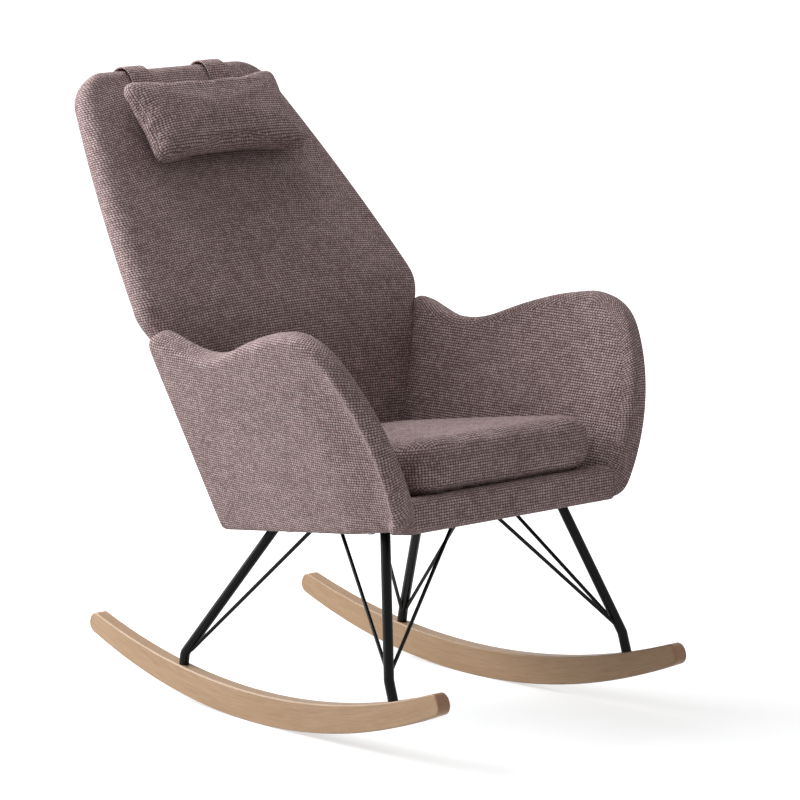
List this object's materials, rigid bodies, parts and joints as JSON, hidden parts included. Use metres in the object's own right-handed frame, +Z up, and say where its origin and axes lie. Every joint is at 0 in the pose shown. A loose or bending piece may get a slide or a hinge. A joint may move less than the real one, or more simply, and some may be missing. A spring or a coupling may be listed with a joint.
{
  "type": "upholstered rocking chair",
  "caption": "High-back padded rocking chair with scalloped arms, a loose seat cushion, a strapped head pillow, bent steel legs with brace rods and curved wooden rockers.",
  "frame": {"origin": "centre of the bounding box's footprint, on the floor the rockers stand on", "axes": "+Z up, -Y the way the sitter faces, +X the sitter's left"},
  "size_m": [0.6636, 0.9876, 0.984],
  "materials": {
    "beech": "satin lacquer",
    "plywood": "raw",
    "black_steel": "satin powder coat",
    "fixings": "zinc plated",
    "upholstery": "chunky basket weave",
    "dust_cover": "nonwoven"
  },
  "bodies": {
    "chair": {"arm_pad_left": "upholstery", "arm_pad_right": "upholstery", "arm_panel_left": "plywood", "arm_panel_right": "plywood", "back_bracket_left": "black_steel", "back_bracket_right": "black_steel", "back_pad": "upholstery", "back_panel": "plywood", "brace_front_cross_left": "black_steel", "brace_front_cross_right": "black_steel", "brace_front_side_left": "black_steel", "brace_front_side_right": "black_steel", "brace_rear_cross_left": "black_steel", "brace_rear_cross_right": "black_steel", "brace_rear_side_left": "black_steel", "brace_rear_side_right": "black_steel", "bracket_screws": "fixings", "dust_cover": "dust_cover", "frame_bar_front": "black_steel", "frame_bar_rear": "black_steel", "frame_bolts": "fixings", "frame_rail_left": "black_steel", "frame_rail_right": "black_steel", "front_pad": "upholstery", "front_rail": "plywood", "leg_front_left": "black_steel", "leg_front_right": "black_steel", "leg_plugs": "fixings", "leg_rear_left": "black_steel", "leg_rear_right": "black_steel", "pillow_strap_left": "upholstery", "pillow_strap_right": "upholstery", "rocker_bolts": "fixings", "rocker_left": "beech", "rocker_right": "beech", "seat_deck": "plywood", "seat_pad": "upholstery", "strap_patches": "upholstery", "tee_nuts": "fixings"},
    "seat_cushion": {"seat_cushion": "upholstery"},
    "head_pillow": {"head_pillow": "upholstery"}
  },
  "joints": [
    {"name": "seat_cushion_lift", "type": "slide", "parent": "chair", "child": "seat_cushion", "axis": [0, 0, 1], "range_m": [0, 0.3]},
    {"name": "head_pillow_slide", "type": "slide", "parent": "chair", "child": "head_pillow", "axis": [0, 0.6478, 0.7618], "range_m": [-0.08, 0.02]}
  ]
}
